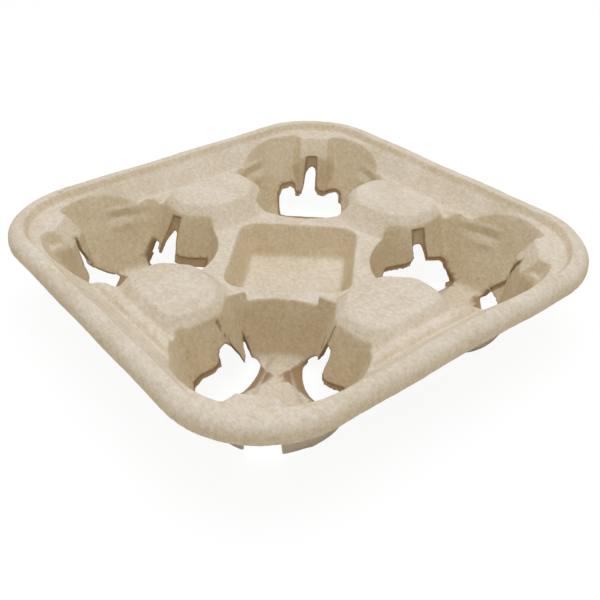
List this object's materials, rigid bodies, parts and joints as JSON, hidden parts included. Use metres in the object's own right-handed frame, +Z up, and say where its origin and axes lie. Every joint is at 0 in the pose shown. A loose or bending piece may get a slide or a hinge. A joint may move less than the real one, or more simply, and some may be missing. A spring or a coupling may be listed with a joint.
{
  "type": "cup carrier",
  "caption": "Square moulded pulp tray that carries paper cups, with flared round wells, hollow grip posts, slotted flexing walls, a centre recess and a rolled rim.",
  "frame": {"origin": "centre of the square tray, at the level that its feet stand on", "axes": "+Z up out of the cup wells; +X and +Y point out through the middle of two neighbouring sides, so the wells lie on the diagonals"},
  "size_m": [0.216, 0.216, 0.047],
  "materials": {
    "pulp": "rough uncoated moulded pulp"
  },
  "bodies": {
    "root": {"cup_carrier": "pulp"}
  },
  "joints": []
}
